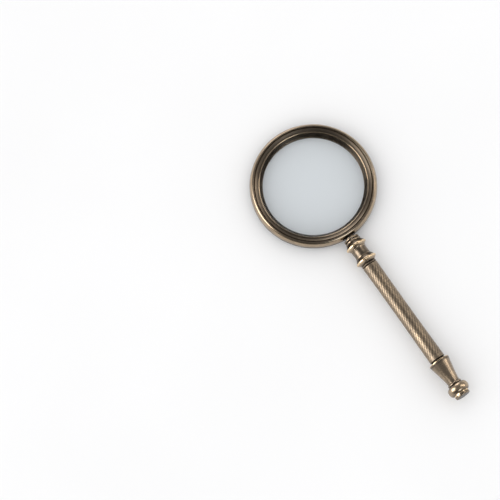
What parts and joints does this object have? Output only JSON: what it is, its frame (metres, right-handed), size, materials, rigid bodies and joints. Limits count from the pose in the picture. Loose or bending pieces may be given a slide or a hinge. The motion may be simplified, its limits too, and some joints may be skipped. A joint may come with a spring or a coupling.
{
  "type": "magnifying glass",
  "caption": "Hand-held magnifying glass: round beaded brass rim with a biconvex lens and threaded retaining ring, collared neck, knurled grip and flared ferrule with a knob.",
  "frame": {"origin": "below the middle of the whole object, at the height of the lowest point of the widest handle collar", "axes": "+Z along the lens's optical axis, out of the face with the retaining ring; the handle points towards -Y and the lens lies towards +Y"},
  "size_m": [0.1, 0.254, 0.0174],
  "materials": {
    "antique_brass": "turned brass with a dark brown patina, rubbed bright on its edges",
    "knurled_brass": "fine diagonal knurl in patinated brass, rubbed on its crests",
    "plain_brass": "plain cut brass thread",
    "rod_steel": "plain threaded steel",
    "packing": "matt black packing",
    "lens_glass": "clear polished optical glass, edge ground"
  },
  "bodies": {
    "head": {"lens": "lens_glass", "lens_rim": "antique_brass", "rear_packing_ring": "packing", "rim_stud": "plain_brass", "stud_boss": "antique_brass"},
    "front_packing": {"front_packing_ring": "packing"},
    "retainer": {"retaining_ring": "antique_brass"},
    "washer": {"stud_washer": "antique_brass"},
    "handle": {"handle_crown": "antique_brass", "upper_collar": "antique_brass", "neck_barrel": "antique_brass", "lower_collar": "antique_brass", "grip_top_ring": "antique_brass", "grip_tube": "knurled_brass", "waist_ring": "antique_brass", "ferrule": "antique_brass", "pommel_bead": "antique_brass", "pommel": "antique_brass", "tie_rod": "rod_steel"},
    "cap_washer": {"end_washer": "rod_steel"},
    "cap": {"end_cap": "antique_brass"}
  },
  "joints": [
    {"name": "front_packing_lift", "type": "slide", "parent": "head", "child": "front_packing", "axis": [0, 0, 1], "range_m": [0, 0.00375]},
    {"name": "retaining_ring_screw", "type": "hinge", "parent": "front_packing", "child": "retainer", "pos_m": [0, 0.077, 0.0087], "axis": [0, 0, 1], "range_deg": [0, 1800]},
    {"name": "stud_washer_travel", "type": "slide", "parent": "head", "child": "washer", "axis": [0, -1, 0], "range_m": [0, 0.0072]},
    {"name": "handle_screw", "type": "hinge", "parent": "washer", "child": "handle", "pos_m": [0, 0, 0.0087], "axis": [0, -1, 0], "range_deg": [0, 3240]},
    {"name": "end_washer_travel", "type": "slide", "parent": "handle", "child": "cap_washer", "axis": [0, -1, 0], "range_m": [0, 0.0021]},
    {"name": "end_cap_screw", "type": "hinge", "parent": "cap_washer", "child": "cap", "pos_m": [0, -0.12, 0.0087], "axis": [0, -1, 0], "range_deg": [0, 1080]}
  ],
  "couplings": [
    {"joint": "retaining_ring_screw", "follows": "front_packing_lift", "rad_per_m": 8377.6},
    {"joint": "handle_screw", "follows": "stud_washer_travel", "rad_per_m": 7854},
    {"joint": "end_cap_screw", "follows": "end_washer_travel", "rad_per_m": 8976}
  ]
}
